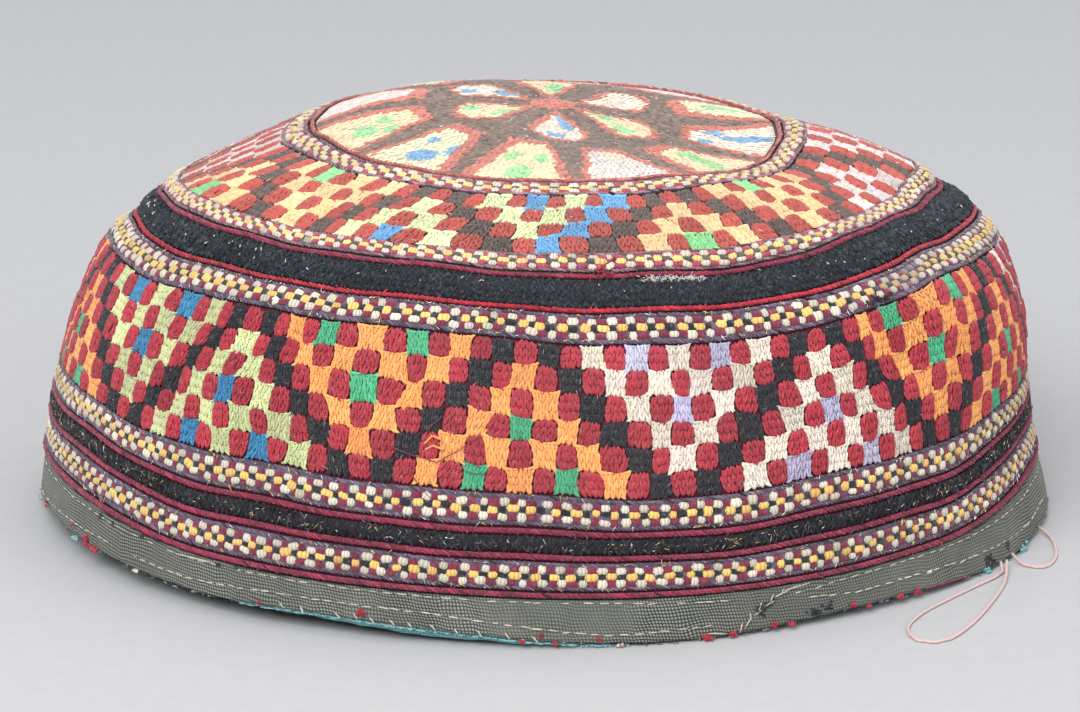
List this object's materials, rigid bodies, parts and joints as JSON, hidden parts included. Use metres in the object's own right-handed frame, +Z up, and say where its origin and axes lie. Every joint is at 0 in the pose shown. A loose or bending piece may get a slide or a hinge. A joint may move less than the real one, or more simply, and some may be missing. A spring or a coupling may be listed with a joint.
{
  "type": "embroidered skullcap",
  "caption": "Round soft cap with a low domed crown and an upright side, embroidered all over with stepped triangles, that rests on its open rim.",
  "frame": {"origin": "on the surface that the cap rests on, under the middle of its rim", "axes": "+Z up through the middle of the crown, -Y towards the front as pictured, +X to the right as pictured"},
  "size_m": [0.1824, 0.1826, 0.0731],
  "materials": {
    "ground_cloth": "dense chain stitch in cotton and silk over cotton cloth, matt",
    "checked_braid": "stitched braid of pale, yellow, black and maroon blocks, matt",
    "crimson_cord": "twisted crimson cord, softly shiny",
    "black_thread": "padded black chain stitch, matt",
    "grey_cloth": "plain woven grey cotton, worn",
    "turquoise_cloth": "thin turquoise cotton, frayed at its edge"
  },
  "bodies": {
    "root": {"crown": "ground_cloth", "side_band": "ground_cloth", "medallion_cord": "crimson_cord", "crown_cord": "crimson_cord", "rim_cord": "crimson_cord", "stripe_cord_upper": "crimson_cord", "stripe_cord_lower": "crimson_cord", "hem_cord": "crimson_cord", "crown_braid_inner": "checked_braid", "crown_braid_outer": "checked_braid", "band_braid_top": "checked_braid", "band_braid_middle": "checked_braid", "band_braid_lower": "checked_braid", "rim_roll": "black_thread", "black_stripe": "black_thread", "hem_band": "grey_cloth", "lining_edge": "turquoise_cloth"}
  },
  "joints": []
}
